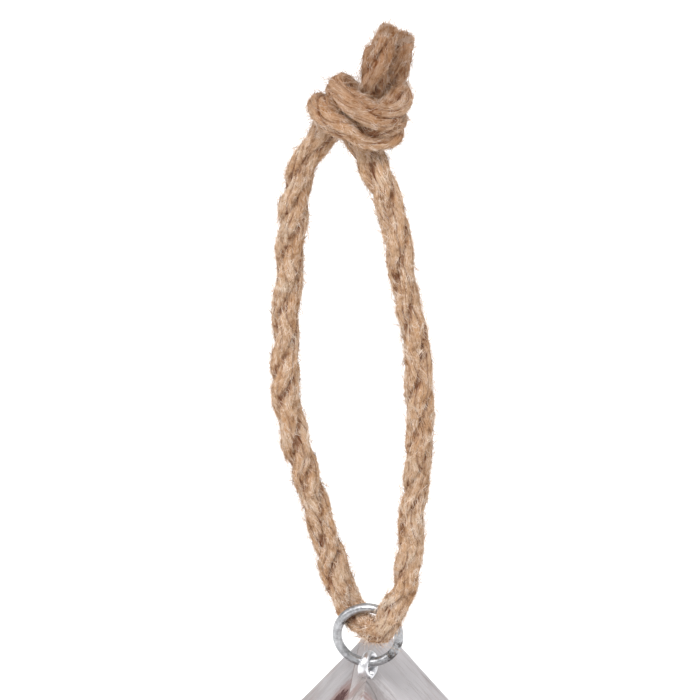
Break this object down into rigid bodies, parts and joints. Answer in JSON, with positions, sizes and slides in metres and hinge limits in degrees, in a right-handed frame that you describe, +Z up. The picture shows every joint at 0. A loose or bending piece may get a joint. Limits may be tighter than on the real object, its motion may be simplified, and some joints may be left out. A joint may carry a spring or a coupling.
{
  "type": "hanging lantern",
  "caption": "House-shaped wooden candle lantern with a glazed door, a tea-light cup, a screw eye and ring, hung on a knotted rope loop.",
  "frame": {"origin": "hang point: where a hook or nail bears, inside the top of the rope loop just under the knot", "axes": "+Z up; -Y is the front with the door; +X to the right when looking at the door; the ridge runs along Y"},
  "size_m": [0.144, 0.0715, 0.3823],
  "materials": {
    "jute_rope": "hairy laid jute",
    "galvanised_steel": "dull zinc coating, worn bright in places",
    "zinc_steel": "bright zinc plating",
    "whitewashed_wood": "thin grey-white wash over knotty softwood",
    "clear_glass": "clear float glass",
    "turned_wood": "waxed turned wood",
    "aged_brass": "dull aged brass",
    "nail_steel": "dull dark steel"
  },
  "bodies": {
    "rope": {"rope": "jute_rope", "rope_knot": "jute_rope", "rope_ends": "jute_rope"},
    "ring": {"hanging_ring": "galvanised_steel"},
    "lantern": {"screw_eye": "zinc_steel", "roof_board_left": "whitewashed_wood", "roof_board_right": "whitewashed_wood", "front_gable": "whitewashed_wood", "side_wall_left": "whitewashed_wood", "side_wall_right": "whitewashed_wood", "base_board": "whitewashed_wood", "back_panel": "whitewashed_wood", "back_pane": "clear_glass", "back_beads": "whitewashed_wood", "hinge_leaves_wall": "zinc_steel", "hinge_pins": "nail_steel", "hinge_screws_wall": "nail_steel", "button_washer": "zinc_steel", "button_screw": "nail_steel", "candle_cup": "zinc_steel", "cup_screw": "nail_steel", "roof_nails": "nail_steel", "wall_nails": "nail_steel", "base_screws": "nail_steel"},
    "door": {"door_stile_left": "whitewashed_wood", "door_stile_right": "whitewashed_wood", "door_rail_top": "whitewashed_wood", "door_rail_bottom": "whitewashed_wood", "door_pane": "clear_glass", "door_beads": "whitewashed_wood", "hinge_leaves_door": "zinc_steel", "hinge_screws_door": "nail_steel", "door_knob": "turned_wood", "knob_screw": "nail_steel"},
    "turn_button": {"turn_button": "aged_brass"}
  },
  "joints": [
    {"name": "ring_swing", "type": "hinge", "parent": "rope", "child": "ring", "pos_m": [0.008, 0, -0.156], "axis": [0, 1, 0], "range_deg": [-20, 20]},
    {"name": "lantern_swing", "type": "hinge", "parent": "ring", "child": "lantern", "pos_m": [0.008, 0, -0.16655], "axis": [1, 0, 0], "range_deg": [-25, 25]},
    {"name": "door_swing", "type": "hinge", "parent": "lantern", "child": "door", "pos_m": [-0.0397, -0.0313, -0.2959], "axis": [0, 0, -1], "range_deg": [0, 110]},
    {"name": "button_turn", "type": "hinge", "parent": "lantern", "child": "turn_button", "pos_m": [0.06, -0.0305, -0.2744], "axis": [0, 1, 0], "range_deg": [0, 90]}
  ]
}
